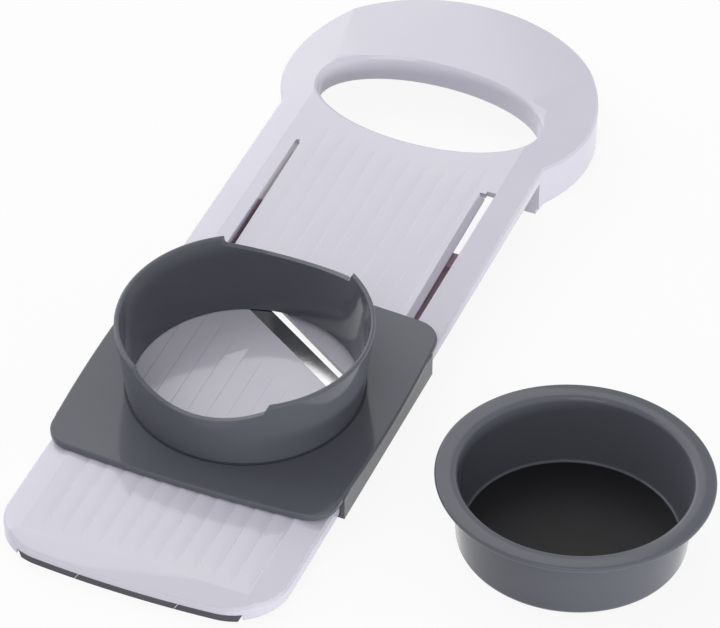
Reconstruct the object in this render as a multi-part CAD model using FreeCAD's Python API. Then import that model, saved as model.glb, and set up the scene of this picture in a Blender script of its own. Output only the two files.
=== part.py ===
import FreeCAD, Part
import math
import os

from FreeCAD import Vector

# Hand slicer with a sliding food carriage and a loose pusher cup.
# Lengths are millimetres. The slicer is drawn in a deck frame: X across, Y from the front edge
# to the handle, Z = 0 on the deck. At the end everything is tilted onto the table plane.

# Deck and side rails
BODY_HALF_WIDTH = 60.6
RIDGE_HALF_WIDTH = 49.0
RIM_SLOPE = 0.224
SKIN = 2.5
WALL = 2.4
SIDE_WALL_BOTTOM = -7.5
RAIL_WEB_BOTTOM = -9.5
RAIL_WEB_FRONT = 26.0
RAIL_WEB_BACK = 286.0
DEEP_WEB_BOTTOM = -13.0
DEEP_WEB_FRONT = 140.0
CORNER_RADIUS = 24.0
FRONT_BOW_DEG = 4.7
EDGE_CHAMFER = 1.0

# Handle head and its finger opening
HEAD_CENTRE_Y = 327.3
HEAD_HALF_WIDTH = 69.8
HEAD_HALF_LENGTH = 63.0
NECK_ROUND = 7.0
NECK_TURN_STEP = 1e-12
HEAD_SKIRT_BOTTOM = -22.0
HEAD_FALL_START_Y = 330.7
HEAD_FALL_SLOPE = 0.0443
OPENING_CENTRE_Y = 315.0
OPENING_HALF_WIDTH = 50.5
OPENING_HALF_LENGTH = 26.0
OPENING_WALL_BOTTOM = -12.0
OPENING_ROUND = 3.5
LIP_RISE = 0.15

# Bowl hooks at the neck, which also carry the handle end on a table
HOOK_Y = 295.5
HOOK_LENGTH = 7.0
HOOK_WIDTH = 6.0
HOOK_OUTER_X = 59.2
HOOK_BOTTOM = -25.0

# Sloping infeed ramp between two slots
RAMP_ROOT_Y = 268.0
RAMP_LEFT_TOP_X = -40.5
RAMP_LEFT_BOTTOM_X = -41.0
RAMP_RIGHT_TOP_X = 42.4
RAMP_RIGHT_BOTTOM_X = 44.9
SLOT_LEFT_X = -42.8
SLOT_RIGHT_X = 49.0
SLOT_END_Y = 270.5
RAMP_REST_DEG = 1.76
ROOT_GAP = 0.25
ROOT_TONGUE = 0.8
ROOT_TONGUE_DEPTH = 0.6
FOLLOWER_RADIUS = 1.5
FOLLOWER_DROP = 1.0

# Saw-tooth flutes on the ramp and on the outfeed deck
FLUTE_PITCH = 8.0
FLUTE_DEPTH = 0.35
FLUTE_RUN_OUT = 9.0
RAMP_FLUTES = 10
DECK_FLUTES = 12
RAMP_FLUTE_END_Y = 280.4
RAMP_FLUTE_END_BOW = 0.0052
DECK_FLUTE_START_Y = 13.0
DECK_FLUTE_BLADE_GAP = 20.0

# Diagonal blade. The line runs u along the edge and v towards the handle.
BLADE_MID_Y = 160.1
BLADE_ANGLE_DEG = -32.8
BLADE_HALF_LENGTH = 64.0
BLADE_WIDTH = 7.0
BLADE_THICKNESS = 0.8
BLADE_BEVEL = 1.8
BLADE_EDGE = 0.1
RAMP_BLADE_GAP = 6.0
SEAT_FRONT = -13.0
SEAT_BACK = -2.4
SEAT_BOTTOM = -4.5
RIVET_PLACES = (-44.5, 49.0)
RIVET_V = -4.4
RIVET_RADIUS = 1.5
RIVET_HEAD_RADIUS = 2.6
RIVET_HEAD = 1.3
RIVET_HEAD_ROUND = 0.9
FIT_GAP = 0.02

# Thickness dial under the ramp: knob, cam and screw on a cross bridge
DIAL_Y = 232.0
BRIDGE_TOP = -7.6
BRIDGE_BOTTOM = -10.6
BRIDGE_LENGTH = 9.0
TRAY_THICKNESS = 1.5
TRAY_KNOB_GAP = 2.0
TRAY_BLADE_GAP = 12.0
BRIDGE_BOSS_RADIUS = 11.0
DIAL_BORE_GAP = 0.08
DIAL_SHAFT_RADIUS = 4.0
DIAL_AXIAL_GAP = 0.25
KNOB_RADIUS = 15.0
KNOB_BOTTOM = -18.0
KNOB_GRIPS = 12
KNOB_GRIP_RADIUS = 2.2
KNOB_GRIP_CENTRE = 15.9
KNOB_ROUND = 1.0
CAM_RADIUS = 13.0
CAM_HUB_RADIUS = 6.5
CAM_FOLLOWER_RADIUS = 10.0
CAM_STEP_DEG = 30.0
CAM_STEPS_DOWN = 3
CAM_STEPS_UP = 4
CAM_STEP_RISE = 0.26
CAM_SAFE_GAP = 0.30
SCREW_RADIUS = 1.5
SCREW_HEAD_RADIUS = 2.8
SCREW_HEAD = 1.8
SCREW_RECESS_RADIUS = 3.2
SCREW_RECESS = 2.4
SCREW_TIP = 1.2
SCREW_SLOT_WIDTH = 0.8
SCREW_SLOT_DEPTH = 0.8

# Rubber grip strip under the front edge
STRIP_LEFT_X = -47.0
STRIP_RIGHT_X = 49.0
STRIP_FRONT_INSET = 0.6
STRIP_BACK_Y = 10.0
STRIP_TOP = -5.0
STRIP_BOTTOM = -9.0
STRIP_REST_Y = 5.5
STRIP_END_SLANT = 2.2
STRIP_CLEAR = 0.1

# Carriage: square plate, hopper ring and two side runners
CARRIAGE_Y = 119.5
PLATE_HALF = 64.0
PLATE_BOW = 1.8
PLATE_CORNER = 12.0
PLATE_BOTTOM = 0.35
PLATE_TOP = 2.85
PLATE_ROUND = 0.9
RING_FOOT_OUTER = 48.5
RING_FOOT_INNER = 46.5
RING_RIM_OUTER = 52.4
RING_RIM_INNER = 50.2
RING_RIM_TOP = 36.5
RING_FOOT_ROUND = 0.5
SCOOP_HALF_WIDTH = 28.4
SCOOP_END_DEPTH = 4.5
SCOOP_MID_DEPTH = 9.0
SCOOP_CORNER = 2.6
SCOOP_EAR = 1.6
RUNNER_INNER_X = 61.0
RUNNER_OUTER_X = 62.9
RUNNER_HALF_LENGTH = 46.0
RUNNER_BOTTOM = -9.3
LIP_TOP = -7.9
LIP_INNER_X = 58.8

# Pusher cup, standing on the table beside the slicer
CUP_X = 147.4
CUP_TABLE_Y = 98.8
CUP_HEIGHT = 33.0
CUP_FLANGE_RADIUS = 55.5
CUP_FLANGE = 2.4
CUP_TOP_RADIUS = 48.75
CUP_BOTTOM_RADIUS = 45.75
CUP_WALL = 2.1
CUP_FLOOR = 2.2
CUP_CORNER = 3.0
CUP_MOUTH_ROUND = 2.0
CUP_FLANGE_ROUND = 1.1
CUP_FLOOR_ROUND = 1.0

# The table plane touches the strip's underside and both hooks
TILT_DEG = math.degrees(math.atan2(STRIP_BOTTOM - HOOK_BOTTOM, HOOK_Y - STRIP_REST_Y))
FAR = 500.0
OVERLAP = 1.0
NEAR = 0.05
X_AXIS = Vector(1, 0, 0)
Z_AXIS = Vector(0, 0, 1)


def polygon_face(points):
    return Part.Face(Part.makePolygon(points + points[:1]))


def prism_xy(points, z_low, z_high):
    """Upright prism over a list of (x, y) points."""
    face = polygon_face([Vector(x, y, z_low) for x, y in points])
    return face.extrude(Vector(0, 0, z_high - z_low))


def prism_xz(points, y_low, y_high):
    """Prism along Y with a list of (x, z) points as its section."""
    face = polygon_face([Vector(x, y_low, z) for x, z in points])
    return face.extrude(Vector(0, y_high - y_low, 0))


def prism_yz(points, x_low, x_high):
    """Prism along X with a list of (y, z) points as its section."""
    face = polygon_face([Vector(x_low, y, z) for y, z in points])
    return face.extrude(Vector(x_high - x_low, 0, 0))


def box(x_low, x_high, y_low, y_high, z_low, z_high):
    corner = Vector(x_low, y_low, z_low)
    return Part.makeBox(x_high - x_low, y_high - y_low, z_high - z_low, corner)


def disc(radius, z_low, z_high, x=0.0, y=0.0):
    return Part.makeCylinder(radius, z_high - z_low, Vector(x, y, z_low))


def line(start, end):
    return Part.LineSegment(start, end).toShape()


def arc(start, through, end):
    return Part.Arc(start, through, end).toShape()


def quarter(start, corner, end):
    """Quarter round between two points, in the corner where their tangents meet."""
    pull = (start - corner) + (end - corner)
    return arc(start, corner + pull * (1 - math.sqrt(0.5)), end)


def in_section(radius, z):
    """A point in the section of a turned shape."""
    return Vector(radius, 0, z)


def column(face, z_low, z_high):
    """Upright prism over a flat face that lies at Z = 0."""
    base = face.copy()
    base.translate(Vector(0, 0, z_low))
    return base.extrude(Vector(0, 0, z_high - z_low))


def mirrored(shape):
    return shape.mirror(Vector(0, 0, 0), X_AXIS)


def blade_point(u, v, z=0.0):
    """A point given along the blade (u) and square to it towards the handle (v)."""
    turn = math.radians(BLADE_ANGLE_DEG)
    x = u * math.cos(turn) - v * math.sin(turn)
    y = BLADE_MID_Y + u * math.sin(turn) + v * math.cos(turn)
    return Vector(x, y, z)


def blade_box(u_half, v_low, v_high, z_low, z_high):
    """Block lined up with the blade."""
    corners = [(-u_half, v_low), (u_half, v_low), (u_half, v_high), (-u_half, v_high)]
    points = [blade_point(u, v) for u, v in corners]
    return prism_xy([(p.x, p.y) for p in points], z_low, z_high)


def head_point(turn, inset):
    """A point on the head's oval, drawn in by an inset."""
    x = (HEAD_HALF_WIDTH - inset) * math.cos(turn)
    y = HEAD_CENTRE_Y + (HEAD_HALF_LENGTH - inset) * math.sin(turn)
    return Vector(x, y, 0)


def neck_centre(turn, inset):
    """Centre of a neck round that touches the head's oval at the given turn."""
    across = math.cos(turn) / (HEAD_HALF_WIDTH - inset)
    along = math.sin(turn) / (HEAD_HALF_LENGTH - inset)
    outward = Vector(across, along, 0).normalize()
    return head_point(turn, inset) + outward * (NECK_ROUND + inset)


def neck_turn(inset):
    """Turn on the head's oval at which the neck's round leaves for the straight side."""
    low, high = -math.pi / 2, 0.0
    while high - low > NECK_TURN_STEP:
        turn = (low + high) / 2
        if neck_centre(turn, inset).x > BODY_HALF_WIDTH + NECK_ROUND:
            high = turn
        else:
            low = turn
    return turn


def slicer_outline(inset=0.0):
    """Plan of the body: bowed front edge, round corners, straight sides, necks and oval head."""
    bow = math.radians(FRONT_BOW_DEG)
    corner_x = BODY_HALF_WIDTH - CORNER_RADIUS
    front_radius = corner_x / math.sin(bow) + CORNER_RADIUS
    corner_y = front_radius - (front_radius - CORNER_RADIUS) * math.cos(bow)
    corner_radius = CORNER_RADIUS - inset
    half_turn = (math.radians(90) - bow) / 2

    def corner_point(turn):
        x = corner_x + corner_radius * math.sin(turn)
        return Vector(x, corner_y - corner_radius * math.cos(turn), 0)

    start = corner_point(bow)
    side = Vector(BODY_HALF_WIDTH - inset, corner_y, 0)
    turn = neck_turn(inset)
    neck_end = head_point(turn, inset)
    centre = neck_centre(turn, inset)
    neck_start = Vector(BODY_HALF_WIDTH - inset, centre.y, 0)
    towards = (neck_start - centre) + (neck_end - centre)
    neck_mid = centre + towards.normalize() * (NECK_ROUND + inset)

    right = [
        arc(start, corner_point(bow + half_turn), side),
        line(side, neck_start),
        arc(neck_start, neck_mid, neck_end),
    ]
    left = [mirrored(edge) for edge in right]
    front = arc(Vector(-start.x, start.y, 0), Vector(0, inset, 0), start)
    half_width = HEAD_HALF_WIDTH - inset
    half_length = HEAD_HALF_LENGTH - inset
    oval = Part.Ellipse(Vector(0, HEAD_CENTRE_Y, 0), half_width, half_length)
    head = Part.ArcOfEllipse(oval, turn, math.pi - turn).toShape()
    return Part.Face(Part.Wire(Part.__sortEdges__([front, head] + right + left)))


def roof(drop=0.0):
    """Everything below the top faces: flat deck, sloping rims and the falling head."""
    solid = box(-FAR, FAR, -FAR, FAR, -FAR, 0)
    run = FAR - RIDGE_HALF_WIDTH
    rim = prism_xz([(RIDGE_HALF_WIDTH, 0), (FAR, 0), (FAR, -run * RIM_SLOPE)], -FAR, FAR)
    rim_width = BODY_HALF_WIDTH - RIDGE_HALF_WIDTH
    front = prism_yz([(rim_width, 0), (-FAR, 0), (-FAR, -(FAR + rim_width) * RIM_SLOPE)], -FAR, FAR)
    fall = (FAR - HEAD_FALL_START_Y) * HEAD_FALL_SLOPE
    back = prism_yz([(HEAD_FALL_START_Y, 0), (FAR, 0), (FAR, -fall)], -FAR, FAR)
    solid = solid.cut([rim, mirrored(rim), front, back])
    solid.translate(Vector(0, 0, -drop))
    return solid


def flute(x_low, y_start, y_end, rise=0.0):
    """One saw-tooth flute: flush on its left side, deepest on its right side; a rise runs it out."""
    x_high = x_low + FLUTE_PITCH
    section = [(x_low, 0), (x_high, OVERLAP), (x_high, -FLUTE_DEPTH)]
    face = polygon_face([Vector(x, y_start, z) for x, z in section])
    return face.extrude(Vector(0, y_end - y_start, rise))


def flute_lefts(count):
    return [(i - count / 2) * FLUTE_PITCH for i in range(count)]


def ramp_flute_end(x):
    return RAMP_FLUTE_END_Y + RAMP_FLUTE_END_BOW * x * x


def deck_flute_end(x):
    """Where a flute meets the line that runs beside the blade."""
    turn = math.radians(BLADE_ANGLE_DEG)
    return BLADE_MID_Y + (x * math.sin(turn) - DECK_FLUTE_BLADE_GAP) / math.cos(turn)


def deck_flutes():
    """Flutes of the outfeed deck, which run out beside the blade and at the front edge."""
    full_start = DECK_FLUTE_START_Y + FLUTE_RUN_OUT
    cuts = []
    for x in flute_lefts(DECK_FLUTES):
        end = deck_flute_end(x + FLUTE_PITCH)
        full_end = end - FLUTE_RUN_OUT
        cuts.append(flute(x, full_start, full_end))
        cuts.append(flute(x, full_end, end, FLUTE_DEPTH))
        cuts.append(flute(x, full_start, DECK_FLUTE_START_Y, FLUTE_DEPTH))
    return cuts


def root_flutes():
    """The ramp's flutes run out over its root, on an arc beside the finger opening."""
    cuts = []
    for x in flute_lefts(RAMP_FLUTES):
        cuts.append(flute(x, RAMP_ROOT_Y, ramp_flute_end(x + FLUTE_PITCH / 2), FLUTE_DEPTH))
    return cuts


def ramp_well():
    """The space in the deck for the ramp, its two slots and the gap at the blade."""
    well = blade_box(FAR, -BLADE_WIDTH, FAR, -SKIN - OVERLAP, OVERLAP)
    sides = box(SLOT_LEFT_X, SLOT_RIGHT_X, 0, SLOT_END_Y, -FAR, FAR)
    root = box(RAMP_LEFT_BOTTOM_X, RAMP_RIGHT_BOTTOM_X, RAMP_ROOT_Y, FAR, -FAR, FAR)
    barrel_length = RAMP_RIGHT_BOTTOM_X - RAMP_LEFT_BOTTOM_X
    barrel_start = Vector(RAMP_LEFT_BOTTOM_X, RAMP_ROOT_Y, -SKIN / 2)
    barrel = Part.makeCylinder(SKIN / 2 + ROOT_GAP, barrel_length, barrel_start, X_AXIS)
    return well.common(sides).cut(root).fuse(barrel)


def bridge():
    """Cross bridge under the ramp, which joins the rails and carries the thickness dial."""
    left, right = SLOT_LEFT_X - WALL, SLOT_RIGHT_X + WALL
    low_y = DIAL_Y - BRIDGE_LENGTH / 2
    bar = box(left, right, low_y, low_y + BRIDGE_LENGTH, BRIDGE_BOTTOM, BRIDGE_TOP)
    boss = disc(BRIDGE_BOSS_RADIUS, BRIDGE_BOTTOM, BRIDGE_TOP, 0, DIAL_Y)
    bore_radius = DIAL_SHAFT_RADIUS + DIAL_BORE_GAP
    bore = disc(bore_radius, BRIDGE_BOTTOM - OVERLAP, BRIDGE_TOP + OVERLAP, 0, DIAL_Y)
    return bar.fuse(boss).cut(bore)


def rail_web(low):
    """Inner wall of a rail, which makes it an upturned channel; it is deeper beside the ramp."""
    high = low + WALL
    web = box(low, high, RAIL_WEB_FRONT, RAIL_WEB_BACK, RAIL_WEB_BOTTOM, 0)
    return web.fuse(box(low, high, DEEP_WEB_FRONT, RAIL_WEB_BACK, DEEP_WEB_BOTTOM, 0))


def dial_tray():
    """Plate in front of the bridge that closes the space under the ramp, cut away round the knob."""
    left, right = SLOT_LEFT_X - OVERLAP, SLOT_RIGHT_X + OVERLAP
    high = BRIDGE_BOTTOM + TRAY_THICKNESS / 2
    tray = box(left, right, DEEP_WEB_FRONT, DIAL_Y, high - TRAY_THICKNESS, high)
    tray = tray.common(blade_box(FAR, TRAY_BLADE_GAP, FAR, -FAR, FAR))
    return tray.cut(disc(KNOB_RADIUS + TRAY_KNOB_GAP, -FAR, FAR, 0, DIAL_Y))


def bowl_hook():
    low_y = HOOK_Y - HOOK_LENGTH / 2
    inner = HOOK_OUTER_X - HOOK_WIDTH
    return box(inner, HOOK_OUTER_X, low_y, low_y + HOOK_LENGTH, HOOK_BOTTOM - OVERLAP, -SKIN / 2)


def strip_recess(gap):
    """Room for the grip strip behind and under the front lip."""
    left = STRIP_LEFT_X - gap
    right = STRIP_RIGHT_X + gap
    return box(left, right, -FAR, STRIP_BACK_Y + gap, -FAR, STRIP_TOP + gap)


def blade_seat():
    """Diagonal bar at the end of the outfeed deck, on which the blade lies."""
    seat = blade_box(FAR, SEAT_FRONT, SEAT_BACK, SEAT_BOTTOM, -BLADE_THICKNESS)
    inside = box(SLOT_LEFT_X - OVERLAP, SLOT_RIGHT_X + OVERLAP, 0, FAR, -FAR, FAR)
    return seat.common(inside)


def rivet_holes(radius):
    holes = []
    for u in RIVET_PLACES:
        place = blade_point(u, RIVET_V)
        holes.append(disc(radius, SEAT_BOTTOM - OVERLAP, OVERLAP, place.x, place.y))
    return holes


def opening_face(out):
    """Oval of the finger opening, drawn out by the given width."""
    centre = Vector(0, OPENING_CENTRE_Y, 0)
    oval = Part.Ellipse(centre, OPENING_HALF_WIDTH + out, OPENING_HALF_LENGTH + out)
    return Part.Face(Part.Wire([oval.toShape()]))


def opening_plug():
    """Cutter for the finger opening: an oval column that flares into a soft lip at its top."""
    block = column(opening_face(2 * OPENING_ROUND), -FAR, 0)
    holed = block.cut(column(opening_face(0), -FAR, 0))
    mouth = []
    for edge in holed.Edges:
        bounds = edge.BoundBox
        if bounds.ZMin > -OVERLAP and bounds.XMax < OPENING_HALF_WIDTH + OVERLAP:
            mouth.append(edge)
    plug = block.cut(holed.makeFillet(OPENING_ROUND, mouth))
    plug.translate(Vector(0, 0, LIP_RISE))
    return plug


def edged_block(plan):
    """Solid of the whole plan under the roof, with its top edge broken all the way round."""
    block = column(plan, HEAD_SKIRT_BOTTOM, FAR).common(roof())
    rim = []
    for edge in block.Edges:
        middle = edge.valueAt((edge.FirstParameter + edge.LastParameter) / 2)
        level = abs(edge.firstVertex().Z - edge.lastVertex().Z) < -SIDE_WALL_BOTTOM
        on_outline = plan.OuterWire.distToShape(Part.Vertex(middle.x, middle.y, 0))[0] < NEAR
        if level and on_outline and middle.z > SIDE_WALL_BOTTOM:
            rim.append(edge)
    return block.makeChamfer(EDGE_CHAMFER, rim)


def slicer_body():
    """White moulding: deck, rails, handle head, hooks, blade seat and dial bridge."""
    plan = slicer_outline()
    skirt_start = HOOK_Y - HOOK_LENGTH / 2
    under_deck = box(-FAR, FAR, -FAR, skirt_start, -FAR, SIDE_WALL_BOTTOM)
    hollow = column(slicer_outline(WALL), -FAR, FAR).common(roof(SKIN))
    wall = column(opening_face(WALL), OPENING_WALL_BOTTOM, FAR).common(roof())
    left_web = rail_web(SLOT_LEFT_X - WALL).common(roof())
    right_web = rail_web(SLOT_RIGHT_X).common(roof())
    hook = bowl_hook().common(column(plan, -FAR, FAR)).common(roof())

    body = edged_block(plan).cut(under_deck).cut(hollow)
    for piece in (wall, left_web, right_web, hook, mirrored(hook)):
        body = body.fuse(piece)
    for cut in (opening_plug(), ramp_well(), deck_flutes(), root_flutes()):
        body = body.cut(cut)
    body = body.fuse(blade_seat()).fuse(dial_tray()).fuse(bridge())
    body = body.cut(rivet_holes(RIVET_RADIUS + FIT_GAP))
    return body.cut(strip_recess(STRIP_CLEAR)).cut(table_block())


def table_block():
    """Everything below the table plane, in the deck frame."""
    block = box(-FAR, FAR, -FAR, FAR, -FAR, STRIP_BOTTOM)
    block.rotate(Vector(0, STRIP_REST_Y, STRIP_BOTTOM), X_AXIS, -TILT_DEG)
    return block


def infeed_ramp():
    """Flexible ramp that lowers towards the blade and sets the slice thickness."""
    left, right = RAMP_LEFT_TOP_X, RAMP_RIGHT_TOP_X
    section = [(left, 0), (right, 0), (RAMP_RIGHT_BOTTOM_X, -SKIN), (RAMP_LEFT_BOTTOM_X, -SKIN)]
    plate = prism_xz(section, 0, RAMP_ROOT_Y)
    plate = plate.common(blade_box(FAR, RAMP_BLADE_GAP, FAR, -FAR, FAR))
    start = Vector(left, RAMP_ROOT_Y, -SKIN / 2)
    root = Part.makeCylinder(SKIN / 2, right - left, start, X_AXIS)
    tip = RAMP_ROOT_Y + ROOT_TONGUE
    tongue = box(left, right, RAMP_ROOT_Y - OVERLAP, tip, -ROOT_TONGUE_DEPTH, 0)
    follower_y = DIAL_Y - CAM_FOLLOWER_RADIUS
    follower = disc(FOLLOWER_RADIUS, -SKIN - FOLLOWER_DROP, -SKIN / 2, 0, follower_y)
    flutes = [flute(x, 0, FAR) for x in flute_lefts(RAMP_FLUTES)]
    ramp = plate.fuse(root).fuse(tongue).cut(flutes).fuse(follower)
    ramp.rotate(Vector(0, RAMP_ROOT_Y, -SKIN / 2), X_AXIS, RAMP_REST_DEG)
    return ramp


def slicing_blade():
    """Ground steel strip, flush with the outfeed deck, which ends between the two rails."""
    section = [
        (-BLADE_WIDTH + FIT_GAP, 0),
        (0, 0),
        (0, -BLADE_EDGE),
        (-BLADE_BEVEL, -BLADE_THICKNESS),
        (-BLADE_WIDTH + FIT_GAP, -BLADE_THICKNESS),
    ]
    points = [blade_point(-BLADE_HALF_LENGTH, v, z) for v, z in section]
    along = blade_point(1, 0) - blade_point(0, 0)
    strip = polygon_face(points).extrude(along * (2 * BLADE_HALF_LENGTH))
    between_rails = box(SLOT_LEFT_X + FIT_GAP, SLOT_RIGHT_X - FIT_GAP, 0, FAR, -FAR, FAR)
    strip = strip.common(between_rails)
    return strip.cut(rivet_holes(RIVET_RADIUS + FIT_GAP))


def blade_rivets():
    """Two flush rivets, headed under the seat."""
    rivets = []
    for u in RIVET_PLACES:
        place = blade_point(u, RIVET_V)
        shank = disc(RIVET_RADIUS, SEAT_BOTTOM - RIVET_HEAD / 2, 0, place.x, place.y)
        head = disc(RIVET_HEAD_RADIUS, SEAT_BOTTOM - RIVET_HEAD, SEAT_BOTTOM, place.x, place.y)
        head = head.makeFillet(RIVET_HEAD_ROUND, [head.Edges[2]])
        rivets.append(shank.fuse(head))
    return Part.makeCompound(rivets)


def front_grip_strip():
    """Rubber bar with slanted ends, held in the recess under the front lip."""
    low, high = STRIP_BOTTOM - OVERLAP, STRIP_TOP
    left, right = STRIP_LEFT_X, STRIP_RIGHT_X
    slant = STRIP_END_SLANT
    section = [(left, high), (right, high), (right - slant, low), (left + slant, low)]
    bar = prism_xz(section, 0, STRIP_BACK_Y)
    plan = slicer_outline(STRIP_FRONT_INSET)
    return bar.common(column(plan, -FAR, FAR)).cut(table_block())


def thickness_knob():
    """Grip knob under the bridge, with the shaft that turns in it."""
    high = BRIDGE_BOTTOM - DIAL_AXIAL_GAP
    body = disc(KNOB_RADIUS, KNOB_BOTTOM, high, 0, DIAL_Y)
    rims = [edge for edge in body.Edges if abs(edge.Length - 2 * math.pi * KNOB_RADIUS) < NEAR]
    body = body.makeFillet(KNOB_ROUND, rims)
    grips = []
    for i in range(KNOB_GRIPS):
        turn = 2 * math.pi * i / KNOB_GRIPS
        x = KNOB_GRIP_CENTRE * math.cos(turn)
        y = DIAL_Y + KNOB_GRIP_CENTRE * math.sin(turn)
        grips.append(disc(KNOB_GRIP_RADIUS, KNOB_BOTTOM - OVERLAP, high + OVERLAP, x, y))
    shaft = disc(DIAL_SHAFT_RADIUS, high - OVERLAP, BRIDGE_TOP + DIAL_AXIAL_GAP, 0, DIAL_Y)
    low = KNOB_BOTTOM - OVERLAP
    recess = disc(SCREW_RECESS_RADIUS, low, KNOB_BOTTOM + SCREW_RECESS, 0, DIAL_Y)
    bore = disc(SCREW_RADIUS + FIT_GAP, low, 0, 0, DIAL_Y)
    return body.cut(grips).fuse(shaft).cut([recess, bore])


def follower_height():
    """Height of the follower's tip at rest, where it stands over the cam."""
    lever = RAMP_ROOT_Y - (DIAL_Y - CAM_FOLLOWER_RADIUS)
    drop = lever * math.sin(math.radians(RAMP_REST_DEG))
    return -drop - SKIN - FOLLOWER_DROP


def thickness_cam():
    """Stepped face cam above the bridge: each step lifts the ramp by one thickness setting."""
    low = BRIDGE_TOP + DIAL_AXIAL_GAP
    base_top = follower_height() - CAM_SAFE_GAP - (CAM_STEPS_DOWN + 1) * CAM_STEP_RISE
    solid = disc(CAM_RADIUS, low, base_top, 0, DIAL_Y)
    centre = Vector(0, DIAL_Y, low)
    for setting in range(-CAM_STEPS_DOWN, CAM_STEPS_UP + 1):
        high = follower_height() - CAM_SAFE_GAP + setting * CAM_STEP_RISE
        step = Part.makeCylinder(CAM_RADIUS, high - low, centre, Z_AXIS, CAM_STEP_DEG)
        step.rotate(centre, Z_AXIS, -90 - (setting + 0.5) * CAM_STEP_DEG)
        solid = solid.fuse(step)
    eye = disc(CAM_HUB_RADIUS, base_top, 0, 0, DIAL_Y)
    bore = disc(SCREW_RADIUS + FIT_GAP, low - OVERLAP, 0, 0, DIAL_Y)
    return solid.cut([eye, bore]).removeSplitter()


def dial_screw():
    """Screw that clamps the knob and the cam together through the bridge."""
    head_top = KNOB_BOTTOM + SCREW_RECESS
    head_low = head_top - SCREW_HEAD
    tip = BRIDGE_TOP + DIAL_AXIAL_GAP + SCREW_TIP
    head = disc(SCREW_HEAD_RADIUS, head_low, head_top, 0, DIAL_Y)
    shank = disc(SCREW_RADIUS, head_top, tip, 0, DIAL_Y)
    half = SCREW_SLOT_WIDTH / 2
    front = DIAL_Y - SCREW_HEAD_RADIUS
    back = DIAL_Y + SCREW_HEAD_RADIUS
    slot = box(-half, half, front, back, head_low - OVERLAP, head_low + SCREW_SLOT_DEPTH)
    return head.fuse(shank).cut(slot)


def plate_outline():
    """Square with slightly bowed sides and round corners, about its own centre."""
    flat = PLATE_HALF - PLATE_BOW
    corner = flat - PLATE_CORNER
    diagonal = corner + PLATE_CORNER * math.sqrt(0.5)
    edges = []
    for quarter in range(4):
        turn = FreeCAD.Rotation(Z_AXIS, 90 * quarter)
        low = turn.multVec(Vector(flat, -corner, 0))
        middle = turn.multVec(Vector(PLATE_HALF, 0, 0))
        high = turn.multVec(Vector(flat, corner, 0))
        bend = turn.multVec(Vector(diagonal, diagonal, 0))
        after = turn.multVec(Vector(corner, flat, 0))
        edges.append(arc(low, middle, high))
        edges.append(arc(high, bend, after))
    return Part.Face(Part.Wire(edges))


def hopper_ring():
    """Flared ring wall turned about the upright axis, with a round rim and a soft foot."""
    rim_mid = (RING_RIM_OUTER + RING_RIM_INNER) / 2
    rim_radius = (RING_RIM_OUTER - RING_RIM_INNER) / 2
    rim_low = RING_RIM_TOP - rim_radius
    foot = RING_FOOT_ROUND
    inner_rim = in_section(RING_RIM_INNER, rim_low)
    outer_rim = in_section(RING_RIM_OUTER, rim_low)
    foot_high = in_section(RING_FOOT_OUTER, PLATE_TOP + foot)
    foot_corner = in_section(RING_FOOT_OUTER, PLATE_TOP)
    foot_out = in_section(RING_FOOT_OUTER + foot, PLATE_TOP)
    base_out = in_section(RING_FOOT_OUTER + foot, PLATE_BOTTOM)
    base_in = in_section(RING_FOOT_INNER, PLATE_BOTTOM)
    wall = [
        line(base_in, inner_rim),
        arc(inner_rim, in_section(rim_mid, RING_RIM_TOP), outer_rim),
        line(outer_rim, foot_high),
        quarter(foot_high, foot_corner, foot_out),
        line(foot_out, base_out),
        line(base_out, base_in),
    ]
    ring = Part.Face(Part.Wire(wall)).revolve(Vector(0, 0, 0), Z_AXIS, 360)
    side = SCOOP_HALF_WIDTH
    low = side - SCOOP_CORNER
    wide = side + SCOOP_EAR
    end = RING_RIM_TOP - SCOOP_END_DEPTH
    high = RING_RIM_TOP + OVERLAP
    bend_end = end + SCOOP_CORNER
    ear_start = RING_RIM_TOP - SCOOP_EAR
    rim_corner = in_section(side, RING_RIM_TOP)
    bottom = in_section(0, RING_RIM_TOP - SCOOP_MID_DEPTH)
    right = [
        quarter(in_section(low, end), in_section(side, end), in_section(side, bend_end)),
        line(in_section(side, bend_end), in_section(side, ear_start)),
        quarter(in_section(side, ear_start), rim_corner, in_section(wide, RING_RIM_TOP)),
        line(in_section(wide, RING_RIM_TOP), in_section(wide, high)),
    ]
    left = [mirrored(edge) for edge in right]
    ends = [
        arc(in_section(-low, end), bottom, in_section(low, end)),
        line(in_section(-wide, high), in_section(wide, high)),
    ]
    scoop = Part.__sortEdges__(ends + right + left)
    cutter = Part.Face(Part.Wire(scoop)).extrude(Vector(0, FAR, 0))
    cutter.translate(Vector(0, -FAR / 2, 0))
    return ring.cut(cutter)


def slide_carriage():
    """Plate, hopper ring and hooked side runners, moulded in one piece."""
    plate = column(plate_outline(), PLATE_BOTTOM, PLATE_TOP)
    upper = [edge for edge in plate.Edges if edge.CenterOfMass.z > PLATE_TOP - NEAR]
    plate = plate.makeFillet(PLATE_ROUND, upper)
    hole = disc(RING_FOOT_OUTER, PLATE_BOTTOM - OVERLAP, PLATE_TOP + OVERLAP)
    half = RUNNER_HALF_LENGTH
    mid_plate = (PLATE_BOTTOM + PLATE_TOP) / 2
    runner = box(RUNNER_INNER_X, RUNNER_OUTER_X, -half, half, RUNNER_BOTTOM, mid_plate)
    lip = box(LIP_INNER_X, RUNNER_OUTER_X, -half, half, RUNNER_BOTTOM, LIP_TOP)
    side = runner.fuse(lip)
    carriage = plate.cut(hole).multiFuse([hopper_ring(), side, mirrored(side)]).removeSplitter()
    carriage.translate(Vector(0, CARRIAGE_Y, 0))
    return carriage


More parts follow.
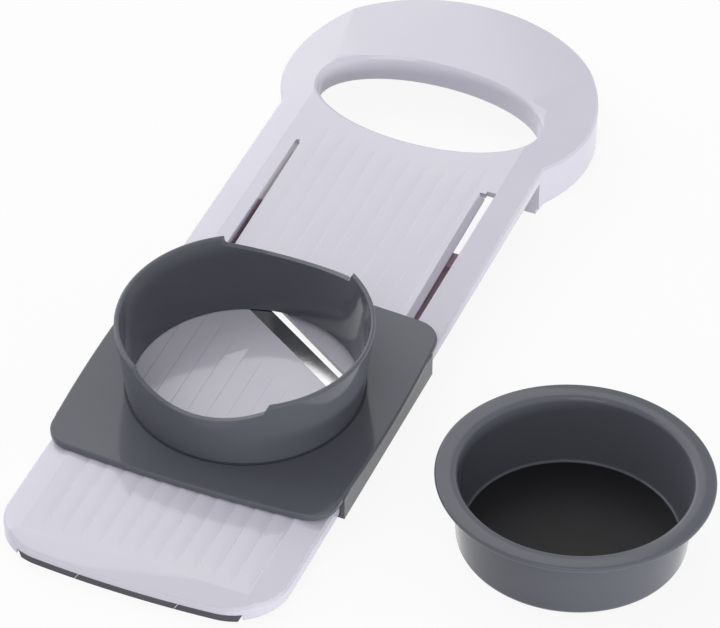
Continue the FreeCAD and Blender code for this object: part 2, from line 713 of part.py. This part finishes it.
def pusher_cup():
    """Round flanged cup that presses the food down inside the hopper ring."""
    flange_low = CUP_HEIGHT - CUP_FLANGE
    taper = (CUP_TOP_RADIUS - CUP_BOTTOM_RADIUS) / CUP_HEIGHT
    mouth = CUP_TOP_RADIUS - CUP_WALL
    floor_radius = CUP_BOTTOM_RADIUS - CUP_WALL + taper * CUP_FLOOR
    flange_edge = CUP_FLANGE_RADIUS - CUP_FLANGE_ROUND
    bend = CUP_MOUTH_ROUND
    middle = in_section(0, 0)
    base = in_section(CUP_BOTTOM_RADIUS - CUP_CORNER, 0)
    side_low = in_section(CUP_BOTTOM_RADIUS + taper * CUP_CORNER, CUP_CORNER)
    side_high = in_section(CUP_TOP_RADIUS, flange_low - bend)
    under_start = in_section(CUP_TOP_RADIUS + bend, flange_low)
    under_end = in_section(flange_edge, flange_low)
    rim = in_section(CUP_FLANGE_RADIUS, flange_low + CUP_FLANGE / 2)
    top_end = in_section(flange_edge, CUP_HEIGHT)
    top_start = in_section(mouth + bend, CUP_HEIGHT)
    inner_high = in_section(mouth, CUP_HEIGHT - bend)
    inner_low = in_section(floor_radius, CUP_FLOOR + CUP_FLOOR_ROUND)
    floor_edge = in_section(floor_radius - CUP_FLOOR_ROUND, CUP_FLOOR)
    floor_middle = in_section(0, CUP_FLOOR)
    profile = [
        line(middle, base),
        quarter(base, in_section(CUP_BOTTOM_RADIUS, 0), side_low),
        line(side_low, side_high),
        quarter(side_high, in_section(CUP_TOP_RADIUS, flange_low), under_start),
        line(under_start, under_end),
        arc(under_end, rim, top_end),
        line(top_end, top_start),
        quarter(top_start, in_section(mouth, CUP_HEIGHT), inner_high),
        line(inner_high, inner_low),
        quarter(inner_low, in_section(floor_radius, CUP_FLOOR), floor_edge),
        line(floor_edge, floor_middle),
        line(floor_middle, middle),
    ]
    cup = Part.Face(Part.Wire(profile)).revolve(Vector(0, 0, 0), Z_AXIS, 360)
    cup.translate(Vector(CUP_X, CUP_TABLE_Y, 0))
    return cup


def on_table(shape):
    """Tilt a shape from the deck frame onto the table; the strip's underside is the origin."""
    placed = shape.copy()
    placed.translate(Vector(0, -STRIP_REST_Y, -STRIP_BOTTOM))
    placed.rotate(Vector(0, 0, 0), X_AXIS, TILT_DEG)
    return placed


pieces = {
    "slicer_body": on_table(slicer_body()),
    "infeed_ramp": on_table(infeed_ramp()),
    "slicing_blade": on_table(slicing_blade()),
    "blade_rivets": on_table(blade_rivets()),
    "front_grip_strip": on_table(front_grip_strip()),
    "thickness_knob": on_table(thickness_knob()),
    "thickness_cam": on_table(thickness_cam()),
    "dial_screw": on_table(dial_screw()),
    "slide_carriage": on_table(slide_carriage()),
    "pusher_cup": pusher_cup(),
}

os.makedirs("parts", exist_ok=True)
for name, shape in pieces.items():
    shape.exportStep("parts/" + name + ".step")
    print(name, "solids", len(shape.Solids), "valid", shape.isValid(), "volume", round(shape.Volume, 1))
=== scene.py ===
import math

import bmesh
import bpy
from mathutils import Color, Matrix, Vector


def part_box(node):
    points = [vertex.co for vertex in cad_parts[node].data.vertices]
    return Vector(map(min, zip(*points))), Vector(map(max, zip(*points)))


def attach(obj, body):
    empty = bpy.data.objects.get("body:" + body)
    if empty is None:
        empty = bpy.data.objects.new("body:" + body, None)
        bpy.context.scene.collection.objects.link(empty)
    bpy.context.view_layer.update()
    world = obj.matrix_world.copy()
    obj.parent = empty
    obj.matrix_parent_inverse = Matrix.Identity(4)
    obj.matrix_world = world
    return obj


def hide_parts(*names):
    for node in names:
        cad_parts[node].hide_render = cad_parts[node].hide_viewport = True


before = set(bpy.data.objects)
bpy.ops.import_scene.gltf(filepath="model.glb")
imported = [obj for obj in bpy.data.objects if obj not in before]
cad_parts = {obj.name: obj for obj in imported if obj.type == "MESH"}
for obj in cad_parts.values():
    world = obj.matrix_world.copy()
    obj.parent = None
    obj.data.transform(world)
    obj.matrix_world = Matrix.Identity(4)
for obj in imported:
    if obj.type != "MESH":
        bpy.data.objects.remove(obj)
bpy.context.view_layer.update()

# Slicer body: the long white moulding with outfeed deck, side rails, handle head and bowl hooks.
# Injection moulded in one shot from glossy lavender-white plastic; the mould softens its edges.
# The well under the ramp is tinted mauve: painted shade of its shadowed hollow.
WHITE_PLASTIC = (217, 215, 227)
WHITE_PLASTIC_COOL = (213, 211, 225)
WHITE_GLOSS = {"IOR": 1.46, "Specular IOR Level": 0.5}
WHITE_ROUGHNESS = 0.08
CLOUD_SIZE = 0.07
CLOUD_RANGE = (0.35, 0.65)
CLOUD_ROUGHNESS = 0.03
GRAIN_SIZE = 0.00055
GRAIN_DEPTH = 0.000001
EDGE_SOFTNESS = 0.0004
EDGE_SAMPLES = 6
DECK_RISE = 0.016
DECK_RUN = 0.290
DECK_HEIGHT = 0.009
DECK_SETBACK = 0.0055
TABLE_TILT = math.atan2(DECK_RISE, DECK_RUN)
ALONG_DECK = Vector((0.0, math.cos(TABLE_TILT), math.sin(TABLE_TILT)))
OFF_DECK = Vector((0.0, -math.sin(TABLE_TILT), math.cos(TABLE_TILT)))
# Painted shade: the mauve of the shadowed well under the ramp.
WELL_SHADE_MAUVE = (192, 168, 182)
WELL_HALF_WIDTH = 0.0495
WELL_TOP = -0.0029
WELL_BOTTOM = -0.0105
WELL_BACK = 0.2665
BLADE_TURN = math.radians(-32.8)
BLADE_MIDDLE = 0.1601
BLADE_SEAT_BACK = -0.0022
ROOT_TIP = 0.268829
ROOT_HALF_WIDTH = 0.0012
ROOT_HOLLOW = 0.0004
FLUTE_DEPTH = 0.00034
DECK_SKIN = 0.000005
WELD_GAP = 1e-6
SHARP_EDGE = math.radians(28)
CREASE = math.radians(0.4)
CREASE_LENGTH = 0.008
LYING_FACE = 0.94
FACE_AREA_WEIGHT = 100


def shade(red, green, blue):
    """A colour as it is seen on screen, in the linear values that a shader takes."""
    seen = Color((red / 255, green / 255, blue / 255))
    return (*seen.from_srgb_to_scene_linear(), 1.0)


class Signal:
    """A shader value that can be written in plain arithmetic."""

    def __init__(self, finish, socket):
        self.finish = finish
        self.socket = socket

    def maths(self, operation, first, second=0.0):
        return self.finish.node("ShaderNodeMath", {"operation": operation}, {0: first, 1: second})

    def __add__(self, other):
        return self.maths("ADD", self, other)

    def __radd__(self, other):
        return self.maths("ADD", other, self)

    def __sub__(self, other):
        return self.maths("SUBTRACT", self, other)

    def __rsub__(self, other):
        return self.maths("SUBTRACT", other, self)

    def __mul__(self, other):
        return self.maths("MULTIPLY", self, other)

    def __rmul__(self, other):
        return self.maths("MULTIPLY", other, self)

    def __gt__(self, other):
        return self.maths("GREATER_THAN", self, other)

    def __lt__(self, other):
        return self.maths("LESS_THAN", self, other)

    def __abs__(self):
        return self.maths("ABSOLUTE", self)

    def between(self, low, high):
        """1 where the value lies between two limits, 0 elsewhere."""
        return (self > low) * (self < high)


class Finish:
    """One procedural finish: a material whose nodes are written as expressions."""

    def __init__(self, name, constants):
        self.material = bpy.data.materials.new(name)
        self.material.use_nodes = True
        self.nodes = self.material.node_tree.nodes
        self.links = self.material.node_tree.links
        self.shader = self.nodes["Principled BSDF"]
        for socket, value in constants.items():
            self.shader.inputs[socket].default_value = value
        self.place = self.node("ShaderNodeTexCoord", output="Object")

    def node(self, kind, settings=None, sockets=None, output=0):
        """Any node: its settings first, then the values or links of its sockets."""
        made = self.nodes.new(kind)
        for key, value in (settings or {}).items():
            setattr(made, key, value)
        for key, value in (sockets or {}).items():
            if isinstance(value, Signal):
                self.links.new(value.socket, made.inputs[key])
            else:
                made.inputs[key].default_value = value
        return Signal(self, made.outputs[output])

    def axis(self, letter):
        """One of the place's coordinates: X, Y or Z."""
        return self.node("ShaderNodeSeparateXYZ", None, {0: self.place}, output=letter)

    def noise(self, size, detail, stretch=(1.0, 1.0, 1.0), turn=0.0):
        """Cloudy noise with patches of the given size in metres, stretched and turned in plan."""
        place = self.node(
            "ShaderNodeMapping",
            {"vector_type": "TEXTURE"},
            {"Vector": self.place, "Scale": stretch, "Rotation": (0.0, 0.0, turn)},
        )
        patches = {"Vector": place, "Scale": 1 / size, "Detail": detail}
        return self.node("ShaderNodeTexNoise", None, patches)

    def spread(self, value, low, high):
        """A value's range from low to high, spread out to 0 to 1 and held there."""
        return self.node("ShaderNodeMapRange", None, {0: value, 1: low, 2: high})

    def mix(self, share, first, second):
        """Two colours mixed by a share."""
        colours = {0: share, 6: first, 7: second}
        return self.node("ShaderNodeMix", {"data_type": "RGBA"}, colours, output=2)

    def deck_place(self):
        """Across, along and above the deck, which stands tilted on the table."""
        across, along, up = (self.axis(letter) for letter in "XYZ")
        along_deck = along * math.cos(TABLE_TILT) + up * math.sin(TABLE_TILT) + DECK_SETBACK
        above_deck = up * math.cos(TABLE_TILT) - along * math.sin(TABLE_TILT) - DECK_HEIGHT
        return across, along_deck, above_deck

    def relief(self, height, depth, softness, crisp=None):
        """Relief of the given depth, over edges that are soft except where they stay crisp."""
        edges = self.node("ShaderNodeBevel", {"samples": EDGE_SAMPLES}, {"Radius": softness})
        if crisp is not None:
            plain = self.node("ShaderNodeNewGeometry", output="Normal")
            normals = {0: crisp, 4: edges, 5: plain}
            edges = self.node("ShaderNodeMix", {"data_type": "VECTOR"}, normals, output=1)
        bump = {"Height": height, "Distance": depth, "Strength": 1.0, "Normal": edges}
        return self.node("ShaderNodeBump", None, bump)

    def feed(self, **signals):
        """Links named values to the shader's sockets and gives the finished material."""
        for socket, value in signals.items():
            self.links.new(value.socket, self.shader.inputs[socket.replace("_", " ")])
        return self.material


def white_plastic(name, paints_well_shade):
    """Glossy white plastic with a fine moulded grain, unbroken where the ramp joins the deck."""
    finish = Finish(name, WHITE_GLOSS)
    cloud = finish.spread(finish.noise(CLOUD_SIZE, detail=3.0), *CLOUD_RANGE)
    grain = finish.noise(GRAIN_SIZE, detail=2.0)
    across, along, above = finish.deck_place()
    tint = finish.mix(cloud, shade(*WHITE_PLASTIC), shade(*WHITE_PLASTIC_COOL))
    between_rails = abs(across) < WELL_HALF_WIDTH
    # Inside the well under the ramp the white is tinted mauve, as painted shade.
    if paints_well_shade:
        from_blade = (along - BLADE_MIDDLE) * math.cos(BLADE_TURN) - across * math.sin(BLADE_TURN)
        under_ramp = (from_blade > BLADE_SEAT_BACK) * (along < WELL_BACK) * between_rails
        in_shaded_well = under_ramp * above.between(WELL_BOTTOM, WELL_TOP)
        tint = finish.mix(in_shaded_well, tint, shade(*WELL_SHADE_MAUVE))
    at_root = (abs(along - ROOT_TIP) < ROOT_HALF_WIDTH) * between_rails
    return finish.feed(
        Base_Color=tint,
        Roughness=WHITE_ROUGHNESS + cloud * CLOUD_ROUGHNESS,
        Normal=finish.relief(grain, GRAIN_DEPTH, EDGE_SOFTNESS, at_root),
    )


def welded(node, name):
    """A copy of a solid's mesh, its triangles joined, smooth over curves and crisp at creases."""
    shape = bmesh.new()
    shape.from_mesh(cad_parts[node].data)
    bmesh.ops.remove_doubles(shape, verts=shape.verts, dist=WELD_GAP)
    for face in shape.faces:
        face.smooth = True
        face.material_index = 0
    for edge in shape.edges:
        turn = edge.calc_face_angle(math.pi)
        lying = all(abs(face.normal.z) > LYING_FACE for face in edge.link_faces)
        crease = lying and turn > CREASE and edge.calc_length() > CREASE_LENGTH
        edge.smooth = turn < SHARP_EDGE and not crease
    mesh = bpy.data.meshes.new(name)
    shape.to_mesh(mesh)
    shape.free()
    if "custom_normal" in mesh.attributes:
        mesh.attributes.remove(mesh.attributes["custom_normal"])
    piece = bpy.data.objects.new(name, mesh)
    bpy.context.scene.collection.objects.link(piece)
    even_faces = piece.modifiers.new("even_faces", "WEIGHTED_NORMAL")
    even_faces.keep_sharp = True
    even_faces.weight = FACE_AREA_WEIGHT
    return piece


def fit(piece, body, node, material):
    """Puts a finished piece on its body, in place of its node, with its finish."""
    piece.data.materials.append(material)
    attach(piece, body)
    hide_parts(node)


body_white = white_plastic("body_white", True)
moulding = welded("slicer_body", "body_moulding")
# The real deck and ramp are one moulding, so the hinge's gap is closed where the flutes start.
for vertex in moulding.data.vertices:
    past_root = vertex.co.dot(ALONG_DECK) + DECK_SETBACK - ROOT_TIP
    depth = DECK_HEIGHT - vertex.co.dot(OFF_DECK)
    between_rails = abs(vertex.co.x) < WELL_HALF_WIDTH
    if between_rails and 0 < past_root < ROOT_HOLLOW and DECK_SKIN < depth < FLUTE_DEPTH:
        vertex.co -= ALONG_DECK * past_root
fit(moulding, "slicer", "slicer_body", body_white)

# Grip strip: a dark grey rubber bar under the front edge that keeps the slicer from sliding.
# Pressed into a recess behind the front lip; matt, slightly dusty, with two pale slanting nicks.
RUBBER = (84, 83, 92)
RUBBER_DUSTY = (97, 95, 104)
RUBBER_NICK = (196, 194, 205)
RUBBER_SHEEN = {"IOR": 1.45, "Specular IOR Level": 0.35}
RUBBER_ROUGHNESS = 0.55
RUBBER_SOFTNESS = 0.0005
DUST_SIZE = 0.006
DUST_RANGE = (0.4, 0.7)
DUST_ROUGHNESS = 0.2
PORE_SIZE = 0.0004
PORE_DEPTH = 0.00003
NICK_PLACES = (-0.021, 0.0215)
NICK_HALF_WIDTH = 0.0002
NICK_SLANT = 0.6

rubber = Finish("grip_rubber", RUBBER_SHEEN)
dust = rubber.spread(rubber.noise(DUST_SIZE, detail=4.0), *DUST_RANGE)
pores = rubber.noise(PORE_SIZE, detail=3.0)
slanted = rubber.axis("X") - rubber.axis("Z") * NICK_SLANT
left_nick, right_nick = (abs(slanted - place) < NICK_HALF_WIDTH for place in NICK_PLACES)
bar_colour = rubber.mix(dust, shade(*RUBBER), shade(*RUBBER_DUSTY))
rubber_skin = rubber.feed(
    Base_Color=rubber.mix(left_nick + right_nick, bar_colour, shade(*RUBBER_NICK)),
    Roughness=RUBBER_ROUGHNESS + dust * DUST_ROUGHNESS,
    Normal=rubber.relief(pores, PORE_DEPTH, RUBBER_SOFTNESS),
)
grip_strip = welded("front_grip_strip", "grip_strip")
fit(grip_strip, "slicer", "front_grip_strip", rubber_skin)

# Blade: a thin strip of hardened steel, set diagonally across the deck and ground to one edge.
# Ground square to its length, so its faces carry fine lines; two rivets hold it in its seat.
BLADE_STEEL = (196, 195, 196)
BLADE_STEEL_DARK = (178, 178, 180)
BLADE_ROUGHNESS = 0.12
BLADE_SOFTNESS = 0.00015
GRIND_SIZE = 0.0006
GRIND_STRETCH = (1.0, 30.0, 1.0)
GRIND_ROUGHNESS = 0.06
GRIND_DEPTH = 0.0000002
SMEAR_SIZE = 0.012
SMEAR_RANGE = (0.4, 0.65)
SMEAR_ROUGHNESS = 0.04

steel = Finish("blade_steel", {"Metallic": 1.0})
grind = steel.noise(GRIND_SIZE, 3.0, GRIND_STRETCH, BLADE_TURN)
smear = steel.spread(steel.noise(SMEAR_SIZE, detail=3.0), *SMEAR_RANGE)
blade_finish = steel.feed(
    Base_Color=steel.mix(grind, shade(*BLADE_STEEL_DARK), shade(*BLADE_STEEL)),
    Roughness=BLADE_ROUGHNESS + grind * GRIND_ROUGHNESS + smear * SMEAR_ROUGHNESS,
    Normal=steel.relief(grind, GRIND_DEPTH, BLADE_SOFTNESS),
)
fit(welded("slicing_blade", "blade"), "slicer", "slicing_blade", blade_finish)

# Rivets: two small steel rivets, flush with the deck, that hold the blade's ends.
# Turned and tumbled, so they are even and slightly satin, with the odd darker stain.
FASTENER = (176, 176, 178)
FASTENER_DARK = (140, 140, 143)
FASTENER_ROUGHNESS = 0.26
FASTENER_SOFTNESS = 0.0002
STAIN_SIZE = 0.0015
STAIN_RANGE = (0.35, 0.7)
STAIN_ROUGHNESS = 0.14
TUMBLE_SIZE = 0.00025
TUMBLE_DEPTH = 0.000006

satin = Finish("fastener_steel", {"Metallic": 1.0})
stain = satin.spread(satin.noise(STAIN_SIZE, detail=4.0), *STAIN_RANGE)
tumbled = satin.noise(TUMBLE_SIZE, detail=2.0)
satin_steel = satin.feed(
    Base_Color=satin.mix(stain, shade(*FASTENER), shade(*FASTENER_DARK)),
    Roughness=FASTENER_ROUGHNESS + stain * STAIN_ROUGHNESS,
    Normal=satin.relief(tumbled, TUMBLE_DEPTH, FASTENER_SOFTNESS),
)
fit(welded("blade_rivets", "rivets"), "slicer", "blade_rivets", satin_steel)

# Infeed ramp: the white plate that sinks towards the blade and sets the slice thickness.
# Same white plastic as the body, with saw-tooth flutes that keep wet food from sticking.
# It bends at its root, where it reaches up to the deck.
ROOT_START = 0.2685
ROOT_REACH = 0.0001

ramp_white = white_plastic("ramp_white", False)
ramp = welded("infeed_ramp", "ramp")
for vertex in ramp.data.vertices:
    if vertex.co.dot(ALONG_DECK) + DECK_SETBACK > ROOT_START:
        vertex.co += ALONG_DECK * ROOT_REACH
fit(ramp, "infeed", "infeed_ramp", ramp_white)

# Carriage: dark grey plate that slides on the rails, moulded in one with hopper ring and runners.
# High-gloss grey plastic that mirrors its surroundings, with hairline scratches from being wiped
# and stacked; the corner at the ring's foot is made dull and darkened with painted shade.
GREY_PLASTIC = (94, 96, 105)
GREY_PLASTIC_WORN = (99, 101, 109)
GREY_GLOSS = {"IOR": 1.5, "Specular IOR Level": 0.22}
GREY_ROUGHNESS = 0.09
GREY_CLOUD_SIZE = 0.05
GREY_CLOUD_SHARE = 0.5
FINGER_SIZE = 0.018
FINGER_RANGE = (0.5, 0.75)
FINGER_ROUGHNESS = 0.06
HAIRLINE_SIZE = 0.0005
HAIRLINE_STRETCH = (1.0, 60.0, 1.0)
HAIRLINE_TURNS = (0.5, -0.9)
HAIRLINE_RANGE = (0.66, 0.74)
HAIRLINE_SHARE = 0.2
HAIRLINE_ROUGHNESS = 0.05
RIPPLE_SIZE = 0.02
RIPPLE_DEPTH = 0.00003
DULL_ROUGHNESS = 0.4
CARRIAGE_SOFTNESS = 0.0002
# Painted shade in the corner at the ring's foot.
GREY_CORNER_SHADE = (48, 50, 57)
RING_CENTRE = 0.1195
RING_FOOT_INSIDE = 0.0484
RING_FOOT_OUTSIDE = 0.0492
RING_FOOT_BOTTOM = 0.00265
RING_FOOT_TOP = 0.00355


def grey_plastic(name, softness, shaded_place=None, shade_colour=None):
    """Glossy dark grey plastic with hairlines and finger smears; one place may be dull with
    painted shade.
    """
    finish = Finish(name, GREY_GLOSS)
    cloud = finish.spread(finish.noise(GREY_CLOUD_SIZE, detail=3.0), *CLOUD_RANGE)
    fingers = finish.spread(finish.noise(FINGER_SIZE, detail=4.0), *FINGER_RANGE)
    one_way, other_way = (
        finish.spread(finish.noise(HAIRLINE_SIZE, 2.0, HAIRLINE_STRETCH, turn), *HAIRLINE_RANGE)
        for turn in HAIRLINE_TURNS
    )
    hairlines = one_way + other_way
    ripple = finish.noise(RIPPLE_SIZE, detail=1.0)
    worn = cloud * GREY_CLOUD_SHARE + hairlines * HAIRLINE_SHARE
    tint = finish.mix(worn, shade(*GREY_PLASTIC), shade(*GREY_PLASTIC_WORN))
    roughness = GREY_ROUGHNESS + fingers * FINGER_ROUGHNESS + hairlines * HAIRLINE_ROUGHNESS
    if shaded_place is not None:
        # That place is made rougher and darkened with a painted shade colour.
        dull_and_shaded = shaded_place(finish)
        tint = finish.mix(dull_and_shaded, tint, shade(*shade_colour))
        roughness = roughness + dull_and_shaded * DULL_ROUGHNESS
    return finish.feed(
        Base_Color=tint,
        Roughness=roughness,
        Normal=finish.relief(ripple, RIPPLE_DEPTH, softness),
    )


def ring_foot_shade(finish):
    """The narrow corner where the ring stands on its plate, darkened there with painted shade."""
    across, along, above = finish.deck_place()
    out = along - RING_CENTRE
    reach = across * across + out * out
    at_foot = reach.between(RING_FOOT_INSIDE ** 2, RING_FOOT_OUTSIDE ** 2)
    return at_foot * above.between(RING_FOOT_BOTTOM, RING_FOOT_TOP)


carriage_grey = grey_plastic("carriage_grey", CARRIAGE_SOFTNESS, ring_foot_shade, GREY_CORNER_SHADE)
carriage = welded("slide_carriage", "carriage")
fit(carriage, "carriage", "slide_carriage", carriage_grey)

# Thickness dial: grip knob with its shaft and a stepped cam, in the carriage's grey plastic.
# One screw of the rivets' satin steel clamps them together through the bridge under the ramp.
GREY_SOFTNESS = 0.0003

dial_grey = grey_plastic("dial_grey", GREY_SOFTNESS)
fit(welded("thickness_knob", "knob"), "dial", "thickness_knob", dial_grey)
fit(welded("thickness_cam", "cam"), "dial", "thickness_cam", dial_grey)
fit(welded("dial_screw", "screw"), "dial", "dial_screw", satin_steel)

# Pusher cup: a loose round cup with a wide flange that presses the food down in the hopper.
# Moulded in the carriage's glossy grey; the floor inside, where the palm rests, is matt
# and darkened with painted shade.
# Its section gives radius, height and rounding of each corner, from under the floor to its top.
CUP_SECTION = (
    (0.0, 0.0, 0.0),
    (0.04575, 0.0, 0.003),
    (0.04875, 0.0306, 0.002),
    (0.0555, 0.0306, 0.0011),
    (0.0555, 0.0330, 0.0011),
    (0.04665, 0.0330, 0.002),
    (0.04385, 0.0022, 0.001),
    (0.0, 0.0022, 0.0),
)
CUP_STEPS = 160
CORNER_STEPS = 6
# Painted shade on the cup's floor inside.
CUP_FLOOR_SHADE = (24, 24, 27)
CUP_FLOOR_RADIUS = 0.0428
CUP_FLOOR_MIDDLE = 0.0012
CUP_FLOOR_TOP = 0.003

low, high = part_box("pusher_cup")
cup_centre = Vector(((low.x + high.x) / 2, (low.y + high.y) / 2, low.z))
turned = bmesh.new()
section = []
for radius, height, _ in CUP_SECTION:
    section.append(turned.verts.new(cup_centre + Vector((radius, 0.0, height))))
for first, second in zip(section, section[1:]):
    turned.edges.new((first, second))
for corner, (_, _, rounding) in zip(section, CUP_SECTION):
    if rounding:
        bmesh.ops.bevel(
            turned, geom=[corner], offset=rounding, offset_type="OFFSET", affect="VERTICES",
            segments=CORNER_STEPS, profile=0.5, material=-1,
        )
bmesh.ops.spin(
    turned, geom=turned.verts[:] + turned.edges[:], cent=cup_centre, axis=(0.0, 0.0, 1.0),
    angle=2 * math.pi, steps=CUP_STEPS, use_merge=True,
)
bmesh.ops.remove_doubles(turned, verts=turned.verts, dist=WELD_GAP)
bmesh.ops.recalc_face_normals(turned, faces=turned.faces)
for face in turned.faces:
    face.smooth = True
cup_mesh = bpy.data.meshes.new("cup")
turned.to_mesh(cup_mesh)
turned.free()
cup = bpy.data.objects.new("cup", cup_mesh)
bpy.context.scene.collection.objects.link(cup)


def matt_shaded_cup_floor(finish):
    """The cup's floor inside, which the mould left matt, darkened there with painted shade."""
    across = finish.axis("X") - cup_centre.x
    along = finish.axis("Y") - cup_centre.y
    inside = across * across + along * along < CUP_FLOOR_RADIUS ** 2
    return inside * finish.axis("Z").between(CUP_FLOOR_MIDDLE, CUP_FLOOR_TOP)


cup_grey = grey_plastic("cup_grey", GREY_SOFTNESS, matt_shaded_cup_floor, CUP_FLOOR_SHADE)
fit(cup, "pusher", "pusher_cup", cup_grey)

# Studio: a pale paper floor that runs out to white and keeps a soft shadow.
# A large panel behind, a window lamp in front and a low strip at the right light the object at the
# level at which colours look as written; the surroundings are seen as plain white.
FLOOR_HALF = 3.0
FLOOR_DROP = 0.0002
FLOOR_WHITE = (0.9, 0.9, 0.9, 1.0)
FLOOR_GLOW = 0.9
SKY_WHITE = (1.0, 1.0, 1.0, 1.0)
SKY_LIGHT = 0.43
DECK_AIM = Vector((0.0, 0.17, 0.02))
HOPPER_AIM = Vector((0.05, 0.15, 0.03))

ground = bmesh.new()
under_object = Matrix.Translation((0.0, 0.0, -FLOOR_DROP))
bmesh.ops.create_grid(ground, x_segments=1, y_segments=1, size=FLOOR_HALF, matrix=under_object)
floor_mesh = bpy.data.meshes.new("floor")
ground.to_mesh(floor_mesh)
ground.free()
floor = bpy.data.objects.new("floor", floor_mesh)
bpy.context.scene.collection.objects.link(floor)
paper = Finish(
    "floor_paper", {"Base Color": FLOOR_WHITE, "Roughness": 1.0, "Specular IOR Level": 0.0}
)


def seen_directly(finish):
    """1 for what the camera, a mirror or glass sees, 0 for light that falls on something."""
    camera_ray, mirror_ray, glass_ray = (
        finish.node("ShaderNodeLightPath", output=ray)
        for ray in ("Is Camera Ray", "Is Glossy Ray", "Is Transmission Ray")
    )
    camera_or_mirror = camera_ray.maths("MAXIMUM", camera_ray, mirror_ray)
    return camera_ray.maths("MAXIMUM", camera_or_mirror, glass_ray)


glow = paper.node("ShaderNodeEmission", None, {"Strength": 1.0})
lit = Signal(paper, paper.shader.outputs[0])
glow_share = seen_directly(paper) * FLOOR_GLOW
blended = paper.node("ShaderNodeMixShader", None, {0: glow_share, 1: lit, 2: glow})
paper.links.new(blended.socket, paper.nodes["Material Output"].inputs["Surface"])
floor.data.materials.append(paper.material)


class Sky(Finish):
    """The studio's surroundings, written with the same expressions as a finish."""

    def __init__(self, surroundings):
        self.nodes = surroundings.node_tree.nodes
        self.links = surroundings.node_tree.links
        self.shader = self.nodes["Background"]
        self.shader.inputs["Color"].default_value = SKY_WHITE


world = bpy.data.worlds.new("studio")
bpy.context.scene.world = world
world.use_nodes = True
sky = Sky(world)
sky_strength = SKY_LIGHT + seen_directly(sky) * (1 - SKY_LIGHT)
sky.links.new(sky_strength.socket, sky.shader.inputs["Strength"])


def panel(name, place, aim, width, height, watts, mirrored):
    """A flat rectangular lamp that faces a point and may be seen in glossy surfaces."""
    lamp = bpy.data.lights.new(name, "AREA")
    lamp.shape = "RECTANGLE"
    lamp.size = width
    lamp.size_y = height
    lamp.energy = watts
    holder = bpy.data.objects.new(name, lamp)
    turn = (aim - Vector(place)).to_track_quat("-Z", "Y").to_matrix().to_4x4()
    holder.matrix_world = Matrix.Translation(place) @ turn
    holder.visible_glossy = mirrored
    bpy.context.scene.collection.objects.link(holder)


panel(
    "back_panel", (-1.65, 0.95, 1.35), DECK_AIM, width=3.4, height=2.5, watts=40.0, mirrored=True
)
panel(
    "front_window", (0.5, -1.6, 1.9), HOPPER_AIM, width=1.3, height=0.9, watts=10.0, mirrored=True
)
panel(
    "front_fill", (2.0, -0.55, 0.1), HOPPER_AIM, width=1.8, height=0.18, watts=24.0, mirrored=False
)

# Camera: stands two metres off, in front and to the right, and looks down through a long lens.
# Its place and roll follow the photograph's view of the deck.
AZIMUTH = math.radians(21.5)
ELEVATION = math.radians(39.1)
ROLL = math.radians(2.0)
DISTANCE = 2.059
FOCAL_PIXELS = 5000.0
OFF_CENTRE = (-58.7, -16.6)
IMAGE_WIDTH = 720
SENSOR = 36.0
FAR_CLIP = 20.0

right = Vector((math.cos(AZIMUTH), math.sin(AZIMUTH), 0.0))
forward = Vector((
    -math.sin(AZIMUTH) * math.cos(ELEVATION),
    math.cos(AZIMUTH) * math.cos(ELEVATION),
    -math.sin(ELEVATION),
))
up = right.cross(forward)
rolled_right = right * math.cos(ROLL) + up * math.sin(ROLL)
rolled_up = up * math.cos(ROLL) - right * math.sin(ROLL)
off_right, off_up = (pixels * DISTANCE / FOCAL_PIXELS for pixels in OFF_CENTRE)
eye = DECK_AIM - forward * DISTANCE - rolled_right * off_right + rolled_up * off_up
stand = Matrix((rolled_right, rolled_up, -forward)).transposed().to_4x4()
lens = bpy.data.cameras.new("camera")
lens.sensor_fit = "HORIZONTAL"
lens.sensor_width = SENSOR
lens.lens = FOCAL_PIXELS * SENSOR / IMAGE_WIDTH
lens.clip_end = FAR_CLIP
camera = bpy.data.objects.new("camera", lens)
camera.matrix_world = Matrix.Translation(eye) @ stand
bpy.context.scene.collection.objects.link(camera)
bpy.context.scene.camera = camera
bpy.context.scene.view_settings.view_transform = "Standard"
